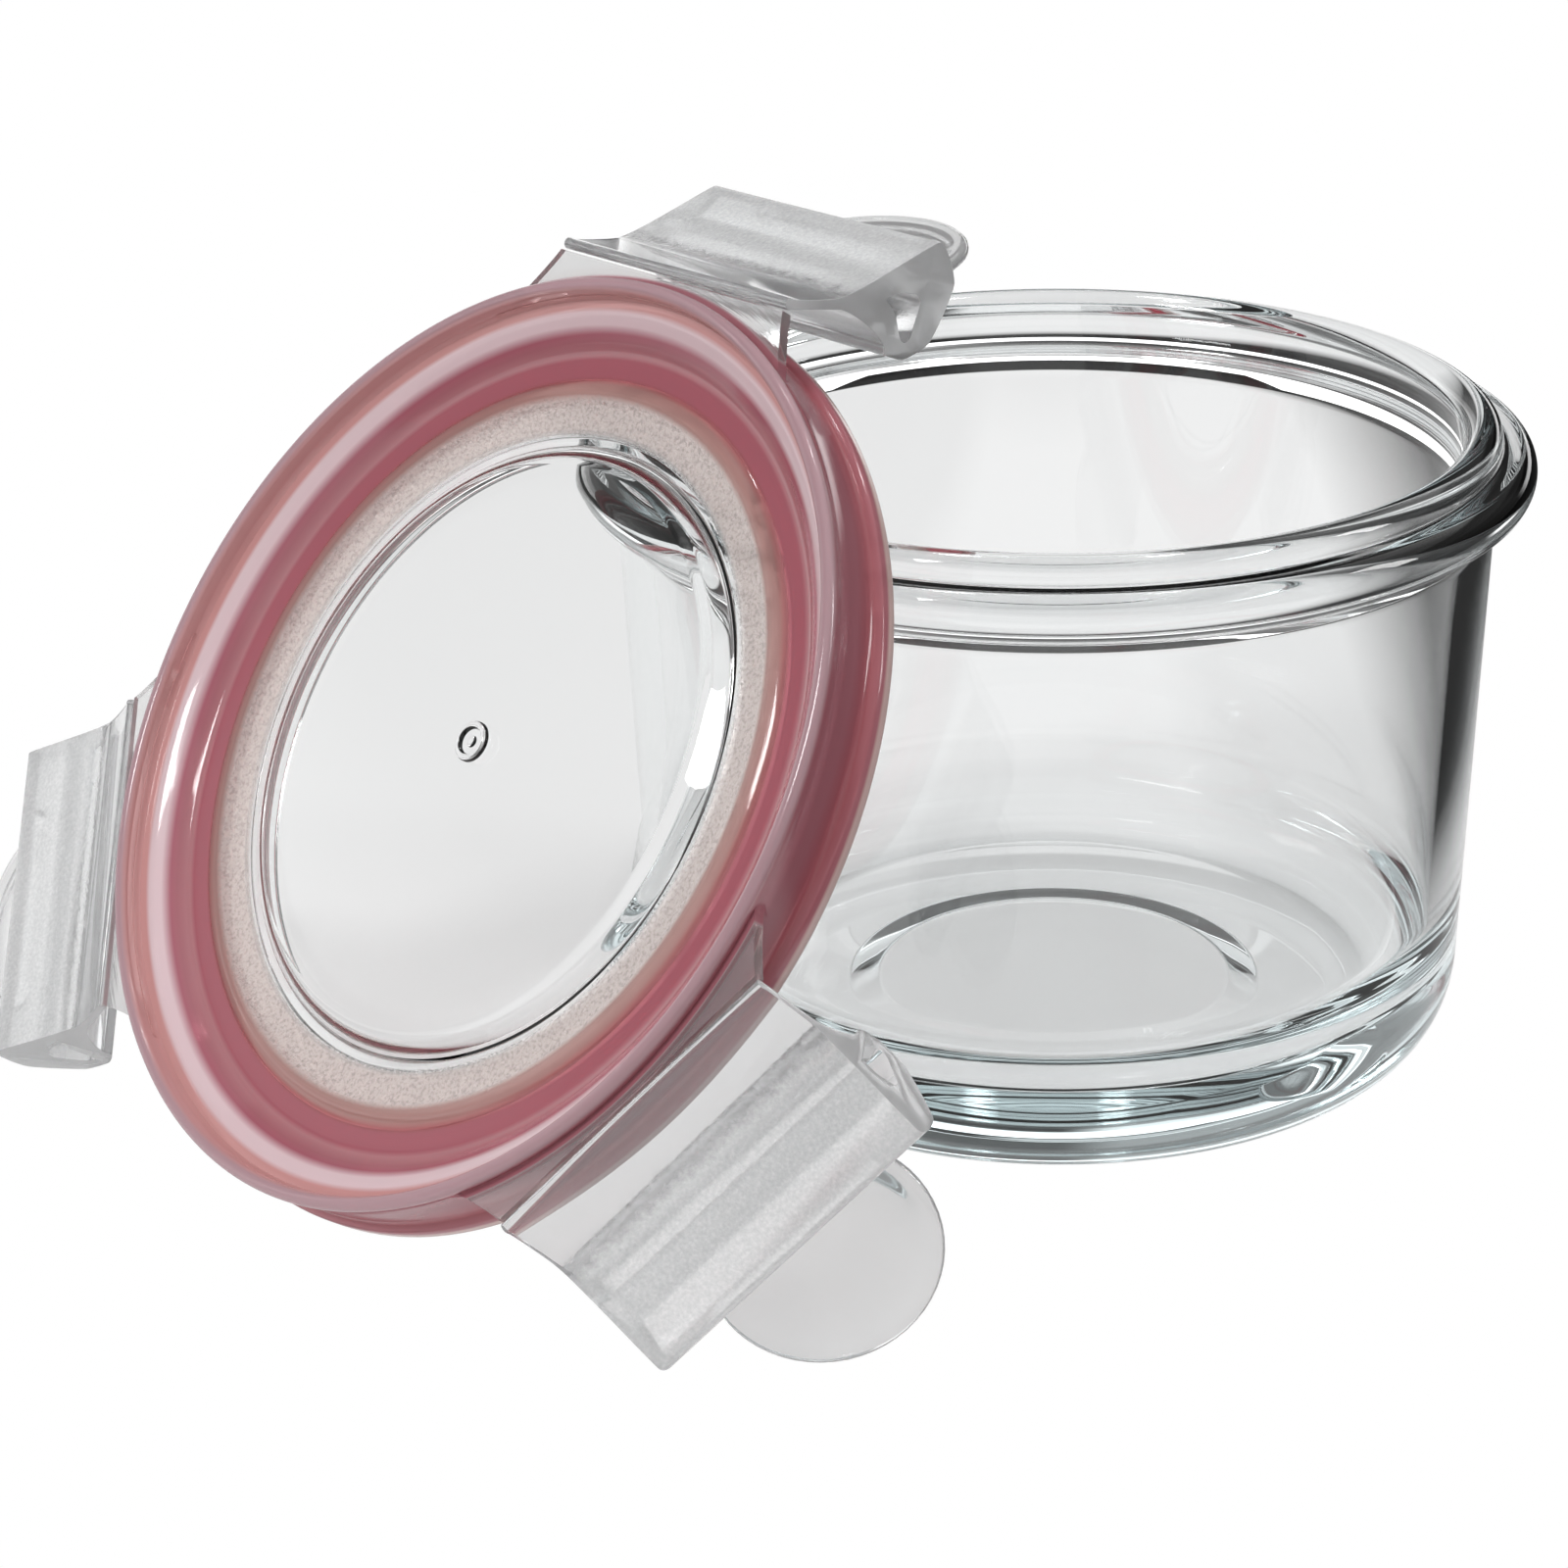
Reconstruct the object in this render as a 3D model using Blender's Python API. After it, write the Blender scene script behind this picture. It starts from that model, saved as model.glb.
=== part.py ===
"""Glass storage container: a round glass jar with a clip lid leaning against it."""
import math

import bmesh
import bpy
from mathutils import Vector

MM = 0.001

# ---- driving dimensions, millimetres -------------------------------------------------
GAP = 0.3                    # clearance left between touching pieces

SEGS = 64                    # faces round the revolved pieces

# glass jar
BEAD_R, BEAD_Z, BEAD_T = 49.0, 62.8, 2.65     # outer radius, centre height, section radius
LIP_R, LIP_Z, LIP_T = 45.5, 65.85, 1.95       # rolled lip above the bead
WALL_R_TOP, WALL_Z_TOP = 45.0, 59.0           # outer wall just below the bead
WALL_R_LOW = 42.85                            # outer wall above the base corner
CORNER_R, CORNER_H = 7.3, 10.0                # rounding of the outer base corner
GLASS_T = 3.3                                 # side wall thickness
FLOOR_Z = 7.4                                 # top of the glass floor
INNER_CORNER = 11.0                           # rounding inside the base
FOOT_IN = 21.0                                # inner edge of the flat foot ring
PUNT_R, PUNT_H = 19.2, 1.5                    # raised centre under the base

# the jar stands off centre, so that the whole set is centred on the origin
JAR_AT = (34.26, 16.25)

# pose of the lid: centre of its rim plane from the jar's foot, and the way its top face looks
LID_C = (-59.51, -34.54, 46.65)
LID_AZ, LID_EL = 218.4, 35.5

# lid shell, radii and heights over the rim plane
LID_T = 1.3                                   # plate thickness
RIM_OUT, RIM_TOP, RIM_BEAD = 48.0, 2.5, 0.75  # raised outer edge
RIM_FLAT_IN, RIM_FLAT_OUT = 45.3, 46.3        # flat between the slope and the raised edge
CHAN_OUT, CHAN_IN, CHAN_H = 41.9, 38.9, -2.4  # sunk ring over the seal
RIDGE_R, RIDGE_H = 37.6, -1.5                 # low ridge round the frosted ring
FROST_IN, FROST_H = 33.2, -2.3                # frosted ring
DISC_R, DISC_H = 30.6, -0.9                   # clear centre
SKIRT_R, SKIRT_T = 47.5, 1.3                  # side skirt
SKIRT_LIP_R, SKIRT_LIP_H, SKIRT_Z = 48.3, 2.0, -6.8
PLUG_OUT, PLUG_IN, PLUG_Z = 32.7, 31.2, -5.2   # low ring under the edge of the clear centre
NUB_R, NUB_H = 1.9, 0.55                      # moulding mark in the middle

# seal ring
SEAL_OUT, SEAL_IN, SEAL_LOW = 45.85, 38.3, 1.15

# clips
CLIP_AZ = {"clip_top": 92.2, "clip_left": 212.2, "clip_bottom": 332.2}
CLIP_FOLD = {"clip_top": 60.5, "clip_left": 20.0, "clip_bottom": 64.0}
HINGE_R, HINGE_H = 50.0, 0.45                 # hinge line of each clip, in the lid's frame
KNUCKLE = 0.6
CLIP_W = 34.6
WEB_T, WEB_L = 1.15, 6.0
HEAD_PEAK, HEAD_OUT = (18.7, 4.3), (21.1, 0.0)
HEEL, NOSE, TOE = (18.1, -5.7), (12.25, -6.0), (14.7, -6.95)
TAB_W, TAB_AT, TAB_LONG, TAB_T = 23.5, (23.5, -0.4), 10.9, 1.5   # centre of its round end, and how far that end goes on
TAB_TILT = 11.5                               # the tab's free end stands up from the clip
TAB_ROOT = 17.9
EAR_T = 1.2
EAR_FOOT = 22.5                               # half width of an ear where it joins the rim


def clear():
    for obj in list(bpy.data.objects):
        bpy.data.objects.remove(obj)


def material(name, colour, rough, alpha=1.0, transmission=0.0):
    mat = bpy.data.materials.new(name)
    mat.use_nodes = True
    shader = mat.node_tree.nodes["Principled BSDF"]
    shader.inputs["Base Color"].default_value = (*colour, 1.0)
    shader.inputs["Roughness"].default_value = rough
    shader.inputs["Alpha"].default_value = alpha
    shader.inputs["Transmission Weight"].default_value = transmission
    return mat


def arc(cx, cz, rx, rz, start, stop, steps):
    """Points of an elliptic arc, angles in degrees from +X."""
    points = []
    for i in range(steps + 1):
        a = math.radians(start + (stop - start) * i / steps)
        points.append((cx + rx * math.cos(a), cz + rz * math.sin(a)))
    return points


def hermite(p, q, tp, tq, steps):
    """Points of a smooth curve from p to q with end tangents tp and tq, both ends kept."""
    points = []
    for i in range(steps + 1):
        t = i / steps
        a, b = 2 * t**3 - 3 * t**2 + 1, t**3 - 2 * t**2 + t
        c, d = -2 * t**3 + 3 * t**2, t**3 - t**2
        points.append(tuple(a * p[k] + b * tp[k] + c * q[k] + d * tq[k] for k in (0, 1)))
    return points


def thinned(points, least=0.05):
    kept = []
    for p in points:
        if not kept or math.dist(p, kept[-1]) > least:
            kept.append(p)
    return kept


def add(name, bm, mat, parent=None, sharp=35):
    bmesh.ops.recalc_face_normals(bm, faces=bm.faces)
    mesh = bpy.data.meshes.new(name)
    bm.to_mesh(mesh)
    bm.free()
    obj = bpy.data.objects.new(name, mesh)
    bpy.context.collection.objects.link(obj)
    if mat:
        mesh.materials.append(mat)
    obj.parent = parent
    for face in mesh.polygons:
        face.use_smooth = True
    mesh.set_sharp_from_angle(angle=math.radians(sharp))
    return obj


def revolved(name, profile, mat, parent=None, segs=SEGS, closed=False):
    """Spins a profile of (radius, height) points round Z. Ends at radius 0 close on the axis."""
    bm = bmesh.new()
    rings = []
    for r, z in thinned(profile):
        if r < 1e-6:
            rings.append([bm.verts.new((0, 0, z * MM))])
            continue
        ring = []
        for i in range(segs):
            a = 2 * math.pi * i / segs
            ring.append(bm.verts.new((r * MM * math.cos(a), r * MM * math.sin(a), z * MM)))
        rings.append(ring)
    pairs = list(zip(rings, rings[1:]))
    if closed:
        pairs.append((rings[-1], rings[0]))
    for low, high in pairs:
        for i in range(segs):
            j = (i + 1) % segs
            corners = [low[i % len(low)], low[j % len(low)], high[j % len(high)], high[i % len(high)]]
            unique = []
            for v in corners:
                if v not in unique:
                    unique.append(v)
            if len(unique) > 2:
                bm.faces.new(unique)
    return add(name, bm, mat, parent)


def prism(name, outline, y0, y1, mat=None, parent=None):
    """A flat outline in X and Z pulled along Y."""
    bm = bmesh.new()
    verts = [bm.verts.new((x * MM, y0 * MM, z * MM)) for x, z in thinned(outline)]
    face = bm.faces.new(verts)
    moved = bmesh.ops.extrude_face_region(bm, geom=[face])
    shift = Vector((0, (y1 - y0) * MM, 0))
    bmesh.ops.translate(bm, verts=[e for e in moved["geom"] if isinstance(e, bmesh.types.BMVert)], vec=shift)
    return add(name, bm, mat, parent)


def slab(name, outline, z0, z1, mat=None, parent=None):
    """A flat outline in X and Y pulled along Z."""
    bm = bmesh.new()
    verts = [bm.verts.new((x * MM, y * MM, z0 * MM)) for x, y in thinned(outline)]
    face = bm.faces.new(verts)
    moved = bmesh.ops.extrude_face_region(bm, geom=[face])
    shift = Vector((0, 0, (z1 - z0) * MM))
    bmesh.ops.translate(bm, verts=[e for e in moved["geom"] if isinstance(e, bmesh.types.BMVert)], vec=shift)
    return add(name, bm, mat, parent)


def boolean(obj, other, operation):
    mod = obj.modifiers.new("cut_" + other.name, "BOOLEAN")
    mod.object = other
    mod.operation = operation
    mod.solver = "EXACT"
    other.hide_render = True
    other.display_type = "WIRE"
    return mod


def jar_profile():
    wall = (WALL_R_TOP - WALL_R_LOW) / (WALL_Z_TOP - CORNER_H)
    points = [(0.0, PUNT_H)]
    points += hermite((PUNT_R, PUNT_H), (FOOT_IN, 0.0), (1.2, 0.0), (1.2, 0.0), 4)
    points += arc(WALL_R_LOW - CORNER_R, CORNER_H, CORNER_R, CORNER_H, -90, 0, 7)
    points += [(WALL_R_LOW + wall * (z - CORNER_H), z) for z in (26.0, 42.0, WALL_Z_TOP - 1.0)]
    bead_c = BEAD_R - BEAD_T
    points += arc(bead_c, BEAD_Z, BEAD_T, BEAD_T, -76, 62, 8)
    lip_c = LIP_R - LIP_T
    points += arc(lip_c, LIP_Z, LIP_T, LIP_T, -14, 180, 8)
    inner = lambda z: WALL_R_LOW + wall * (z - CORNER_H) - GLASS_T
    points += [(inner(z), z) for z in (58.0, 42.0, 26.0)]
    points += arc(inner(FLOOR_Z + INNER_CORNER) - INNER_CORNER, FLOOR_Z + INNER_CORNER, INNER_CORNER, INNER_CORNER, 0, -90, 6)
    points += [(16.0, FLOOR_Z), (0.0, FLOOR_Z)]
    return points


def lid_profile():
    """Top face from the centre outward, down the skirt, and back along the underside."""
    edge_c = RIM_OUT - RIM_BEAD
    points = [(0.0, DISC_H), (16.0, DISC_H)]
    points += hermite((DISC_R - 1.0, DISC_H), (FROST_IN - 0.3, FROST_H), (2.2, 0.0), (2.0, 0.0), 5)
    points += [(FROST_IN + 1.0, FROST_H)]
    points += [(RIDGE_R - 0.9, FROST_H + 0.35)]
    points += arc(RIDGE_R, RIDGE_H - 0.3, 0.55, 0.35, 150, 20, 3)
    points += [(CHAN_IN, CHAN_H), (CHAN_OUT - 0.6, CHAN_H)]
    points += hermite((CHAN_OUT, CHAN_H + 0.15), (RIM_FLAT_IN, 0.0), (1.6, 0.9), (2.6, 0.1), 5)
    points += [(RIM_FLAT_OUT, 0.15)]
    points += arc(edge_c, RIM_TOP - RIM_BEAD, RIM_BEAD, RIM_BEAD, 165, -5, 6)
    points += [(SKIRT_R, -0.2), (SKIRT_R, SKIRT_Z + SKIRT_LIP_H + 0.7)]
    points += arc(SKIRT_LIP_R - 0.7, SKIRT_Z + SKIRT_LIP_H - 0.6, 0.7, 0.6, 60, 0, 2)
    points += arc(SKIRT_LIP_R - 0.6, SKIRT_Z + 0.6, 0.6, 0.6, 0, -90, 3)
    inside = SKIRT_R - SKIRT_T
    points += [(inside + 0.5, SKIRT_Z), (inside + 0.1, SKIRT_Z + 1.2), (inside, -LID_T - 0.1)]
    points += [(RIM_FLAT_IN - 0.2, -LID_T - 0.1)]
    points += [(CHAN_OUT + 0.1, CHAN_H - LID_T + 0.05), (PLUG_OUT + 0.1, CHAN_H - LID_T)]
    points += [(PLUG_OUT, PLUG_Z + 0.3), (PLUG_OUT - 0.4, PLUG_Z), (PLUG_IN + 0.4, PLUG_Z), (PLUG_IN, PLUG_Z + 0.3)]
    points += [(PLUG_IN - 0.6, DISC_H - LID_T - 0.6), (PLUG_IN - 1.4, DISC_H - LID_T), (14.0, DISC_H - LID_T), (0.0, DISC_H - LID_T)]
    return points


def seal_profile():
    """The silicone ring: a flat inner flap and a deeper outer bead, with a groove for the jar's lip."""
    top = -LID_T - 0.1 - GAP
    low = CHAN_H - LID_T - GAP
    return [
        (SEAL_IN, low - 0.05), (CHAN_OUT - 0.2, low), (RIM_FLAT_IN - 0.5, top - 0.05), (SEAL_OUT - 0.1, top - 0.05),
        (SEAL_OUT, top - 0.5), (SEAL_OUT, top - 2.9), (SEAL_OUT - 0.5, top - 3.3), (SEAL_OUT - 1.0, top - 2.9),
        (SEAL_OUT - 1.5, top - 2.1), (43.5, top - 2.5), (CHAN_OUT - 0.4, low - SEAL_LOW),
        (CHAN_OUT - 1.4, low - SEAL_LOW - 0.25), (SEAL_IN + 0.3, low - SEAL_LOW),
    ]


def ear_outline():
    """Half moon plate that carries a clip, in X outward and Y along the hinge."""
    inner = RIM_OUT - 1.6
    edge = HINGE_R - KNUCKLE - GAP
    half = CLIP_W / 2
    start = (math.sqrt(inner**2 - EAR_FOOT**2), EAR_FOOT)
    side = hermite(start, (edge, half), (2.2, -4.6), (2.6, -0.6), 6)
    back = [(inner * math.cos(a), inner * math.sin(a)) for a in
            (math.asin(EAR_FOOT / inner) * (1 - 2 * i / 10) for i in range(11))]
    return side + [(x, -y) for x, y in reversed(side)] + [(x, y) for x, y in reversed(back)][1:-1]


def clip_outline():
    """Section of a clip laid flat: X outward from the hinge, Z up. Knuckle, web, head, hook."""
    top = hermite((0.4, KNUCKLE - 0.15), (WEB_L, 0.0), (2.0, -0.7), (2.4, 0.2), 4)
    top += hermite((WEB_L, 0.0), HEAD_PEAK, (7.0, 0.3), (6.0, 1.6), 7)
    top += hermite(HEAD_PEAK, HEAD_OUT, (3.0, 0.6), (0.2, -3.8), 6)
    back = hermite(HEAD_OUT, HEEL, (-0.2, -3.0), (-2.8, -3.2), 5)
    toe = hermite(HEEL, TOE, (-1.4, -1.3), (-1.6, 0.1), 3)
    nose = hermite(TOE, NOSE, (-1.4, 0.2), (-0.2, 1.4), 3)
    seat = hermite(NOSE, (WEB_L + 0.3, -WEB_T), (1.4, 4.6), (-4.0, 0.5), 7)
    knuckle = arc(0, 0, KNUCKLE, KNUCKLE, -75, -310, 6)
    return top + back + toe + nose + seat + knuckle


def pocket_outline():
    return [(12.2, -0.7), (13.5, -2.2), (14.3, -4.9), (14.9, -5.4), (15.6, -4.9), (16.8, -1.4), (16.2, -0.6), (14.2, -0.2)]


def tab_outline():
    """Laid flat round the middle of its round end, before it is tilted."""
    half = TAB_W / 2
    root = TAB_ROOT - TAB_AT[0]
    return [(root, -half)] + [(TAB_LONG * math.cos(a), half * math.sin(a)) for a in
                              (math.radians(-90 + 180 * i / 14) for i in range(15))] + [(root, half)]


def build():
    glass = material("jar_glass", (0.86, 0.92, 0.92), 0.03, 0.35, 1.0)
    plastic = material("lid_polypropylene", (0.82, 0.66, 0.66), 0.22, 0.7, 0.5)
    silicone = material("seal_silicone", (0.62, 0.12, 0.17), 0.45)
    clip_mat = material("clip_polypropylene", (0.72, 0.74, 0.75), 0.35, 0.8, 0.4)

    jar = revolved("glass_jar", jar_profile(), glass)
    jar.location = (JAR_AT[0] * MM, JAR_AT[1] * MM, 0)

    frame = bpy.data.objects.new("lid_frame", None)
    bpy.context.collection.objects.link(frame)
    frame.location = ((LID_C[0] + JAR_AT[0]) * MM, (LID_C[1] + JAR_AT[1]) * MM, LID_C[2] * MM)
    frame.rotation_euler = (math.radians(90 - LID_EL), 0, math.radians(LID_AZ + 90))

    lid = revolved("lid_shell", lid_profile(), plastic, frame)
    ear_top = HINGE_H + 0.55
    for name, az in CLIP_AZ.items():
        ear = slab("ear_of_" + name, ear_outline(), ear_top - EAR_T, ear_top, None, frame)
        ear.rotation_euler = (0, 0, math.radians(az))
        boolean(lid, ear, "UNION")
    nub = revolved("nub_of_lid", [(0.0, DISC_H - 0.4), (NUB_R, DISC_H - 0.4), (NUB_R, DISC_H + NUB_H - 0.15),
                                  (NUB_R - 0.3, DISC_H + NUB_H), (NUB_R - 0.7, DISC_H + NUB_H),
                                  (NUB_R - 1.0, DISC_H + 0.12), (0.0, DISC_H + 0.1)], None, frame, segs=20)
    boolean(lid, nub, "UNION")

    revolved("seal_ring", seal_profile(), silicone, frame, closed=True)

    half = CLIP_W / 2
    for name, az in CLIP_AZ.items():
        clip = prism(name, clip_outline(), -half, half, clip_mat, frame)
        clip.location = [HINGE_R * MM * math.cos(math.radians(az)), HINGE_R * MM * math.sin(math.radians(az)), HINGE_H * MM]
        clip.rotation_euler = (0, math.radians(CLIP_FOLD[name]), math.radians(az))
        pocket = prism("pocket_of_" + name, pocket_outline(), -half - 1, half + 1, None, clip)
        boolean(clip, pocket, "DIFFERENCE")
        tab = slab("tab_of_" + name, tab_outline(), -TAB_T / 2, TAB_T / 2, None, clip)
        tab.location = (TAB_AT[0] * MM, 0, TAB_AT[1] * MM)
        tab.rotation_euler = (0, -math.radians(TAB_TILT), 0)
        boolean(clip, tab, "UNION")


clear()
build()
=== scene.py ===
"""Look of the glass storage container: jar, clip lid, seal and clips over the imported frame."""

import math

import bmesh
import bpy
from mathutils import Matrix, Vector


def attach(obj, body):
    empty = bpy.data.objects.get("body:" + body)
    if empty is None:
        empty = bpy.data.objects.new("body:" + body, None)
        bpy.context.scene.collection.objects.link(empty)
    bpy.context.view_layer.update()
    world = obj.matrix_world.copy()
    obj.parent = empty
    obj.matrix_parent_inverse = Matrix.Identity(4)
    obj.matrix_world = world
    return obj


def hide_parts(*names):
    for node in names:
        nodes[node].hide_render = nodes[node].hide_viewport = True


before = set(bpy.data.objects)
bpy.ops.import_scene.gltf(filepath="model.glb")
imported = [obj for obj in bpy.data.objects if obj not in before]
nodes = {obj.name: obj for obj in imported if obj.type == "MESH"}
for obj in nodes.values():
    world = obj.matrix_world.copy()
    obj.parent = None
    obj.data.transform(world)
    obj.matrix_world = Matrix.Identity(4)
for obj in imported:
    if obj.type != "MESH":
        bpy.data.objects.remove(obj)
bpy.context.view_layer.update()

MM = 0.001
scene = bpy.context.scene

# ---- places that the frame gives ------------------------------------------------------
JAR_AT = (34.26, 16.25)
LID_C = (-59.51 + JAR_AT[0], -34.54 + JAR_AT[1], 46.65)
LID_AZ, LID_EL = 218.4, 35.5
CLIPS = {"clip_top": (92.2, 60.5), "clip_left": (212.2, 20.0), "clip_bottom": (332.2, 64.0)}
HINGE_R, HINGE_H = 50.0, 0.45
CLIP_W = 34.6

LID_M = (
    Matrix.Translation(Vector(LID_C) * MM)
    @ Matrix.Rotation(math.radians(LID_AZ + 90), 4, "Z")
    @ Matrix.Rotation(math.radians(90 - LID_EL), 4, "X")
)


# ---- mesh helpers ----------------------------------------------------------------------
def arc(cx, cz, rx, rz, start, stop, steps):
    out = []
    for i in range(steps + 1):
        a = math.radians(start + (stop - start) * i / steps)
        out.append((cx + rx * math.cos(a), cz + rz * math.sin(a)))
    return out


def hermite(p, q, tp, tq, steps):
    out = []
    for i in range(steps + 1):
        t = i / steps
        a, b = 2 * t**3 - 3 * t**2 + 1, t**3 - 2 * t**2 + t
        c, d = -2 * t**3 + 3 * t**2, t**3 - t**2
        out.append(tuple(a * p[k] + b * tp[k] + c * q[k] + d * tq[k] for k in (0, 1)))
    return out


def thinned(points, least=0.03):
    kept = []
    for p in points:
        if not kept or math.dist(p, kept[-1]) > least:
            kept.append(p)
    return kept


def rounded(points, radius, steps=4, closed=False):
    """The outline with each of its corners turned into a short curve."""
    out = []
    n = len(points)
    for i, p in enumerate(points):
        if not closed and i in (0, n - 1):
            out.append(p)
            continue
        a, b = points[i - 1], points[(i + 1) % n]
        la, lb = math.dist(p, a), math.dist(p, b)
        cut_a, cut_b = min(radius, la * 0.45), min(radius, lb * 0.45)
        s = (p[0] + (a[0] - p[0]) * cut_a / la, p[1] + (a[1] - p[1]) * cut_a / la)
        e = (p[0] + (b[0] - p[0]) * cut_b / lb, p[1] + (b[1] - p[1]) * cut_b / lb)
        for k in range(steps + 1):
            t = k / steps
            out.append(tuple((1 - t) ** 2 * s[j] + 2 * t * (1 - t) * p[j] + t * t * e[j] for j in (0, 1)))
    return out


def add(name, bm, mats, matrix=None, sharp=40):
    bmesh.ops.recalc_face_normals(bm, faces=bm.faces)
    mesh = bpy.data.meshes.new(name)
    bm.to_mesh(mesh)
    bm.free()
    obj = bpy.data.objects.new(name, mesh)
    scene.collection.objects.link(obj)
    for mat in mats:
        mesh.materials.append(mat)
    for face in mesh.polygons:
        face.use_smooth = True
    if sharp:
        mesh.set_sharp_from_angle(angle=math.radians(sharp))
    if matrix is not None:
        obj.matrix_world = matrix
    return obj


def revolved(name, profile, mats, matrix=None, segs=192, closed=False, sharp=40):
    bm = bmesh.new()
    rings = []
    for r, z in thinned(profile):
        if r < 1e-6:
            rings.append([bm.verts.new((0, 0, z * MM))])
            continue
        rings.append([
            bm.verts.new((r * MM * math.cos(2 * math.pi * i / segs), r * MM * math.sin(2 * math.pi * i / segs), z * MM))
            for i in range(segs)
        ])
    pairs = list(zip(rings, rings[1:]))
    if closed:
        pairs.append((rings[-1], rings[0]))
    for low, high in pairs:
        for i in range(segs):
            j = (i + 1) % segs
            unique = []
            for v in (low[i % len(low)], low[j % len(low)], high[j % len(high)], high[i % len(high)]):
                if v not in unique:
                    unique.append(v)
            if len(unique) > 2:
                bm.faces.new(unique)
    return add(name, bm, mats, matrix, sharp)


def prism(name, outline, y0, y1, mats, matrix=None, cuts=0, sharp=40):
    bm = bmesh.new()
    verts = [bm.verts.new((x * MM, y0 * MM, z * MM)) for x, z in thinned(outline)]
    face = bm.faces.new(verts)
    moved = bmesh.ops.extrude_face_region(bm, geom=[face])
    bmesh.ops.translate(bm, verts=[e for e in moved["geom"] if isinstance(e, bmesh.types.BMVert)], vec=Vector((0, (y1 - y0) * MM, 0)))
    return add(name, bm, mats, matrix, sharp)


def slab(name, outline, z0, z1, mats, matrix=None, sharp=40):
    bm = bmesh.new()
    verts = [bm.verts.new((x * MM, y * MM, z0 * MM)) for x, y in thinned(outline)]
    face = bm.faces.new(verts)
    moved = bmesh.ops.extrude_face_region(bm, geom=[face])
    bmesh.ops.translate(bm, verts=[e for e in moved["geom"] if isinstance(e, bmesh.types.BMVert)], vec=Vector((0, 0, (z1 - z0) * MM)))
    return add(name, bm, mats, matrix, sharp)


def joined(obj, other, operation, self_hit=False):
    """Applies a boolean and removes the second object."""
    mod = obj.modifiers.new("join", "BOOLEAN")
    mod.object = other
    mod.operation = operation
    mod.solver = "EXACT"
    mod.use_self = self_hit
    settle(obj)
    bpy.data.objects.remove(other)


def settle(obj):
    """Puts the result of the modifiers into the mesh."""
    bpy.context.view_layer.update()
    graph = bpy.context.evaluated_depsgraph_get()
    mesh = bpy.data.meshes.new_from_object(obj.evaluated_get(graph), depsgraph=graph)
    obj.modifiers.clear()
    old = obj.data
    obj.data = mesh
    bpy.data.meshes.remove(old)


def soften(obj, width, segments=2, angle=40):
    mod = obj.modifiers.new("edges", "BEVEL")
    mod.width = width * MM
    mod.segments = segments
    mod.limit_method = "ANGLE"
    mod.angle_limit = math.radians(angle)
    mod.use_clamp_overlap = True
    mod.harden_normals = False
    settle(obj)


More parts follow.
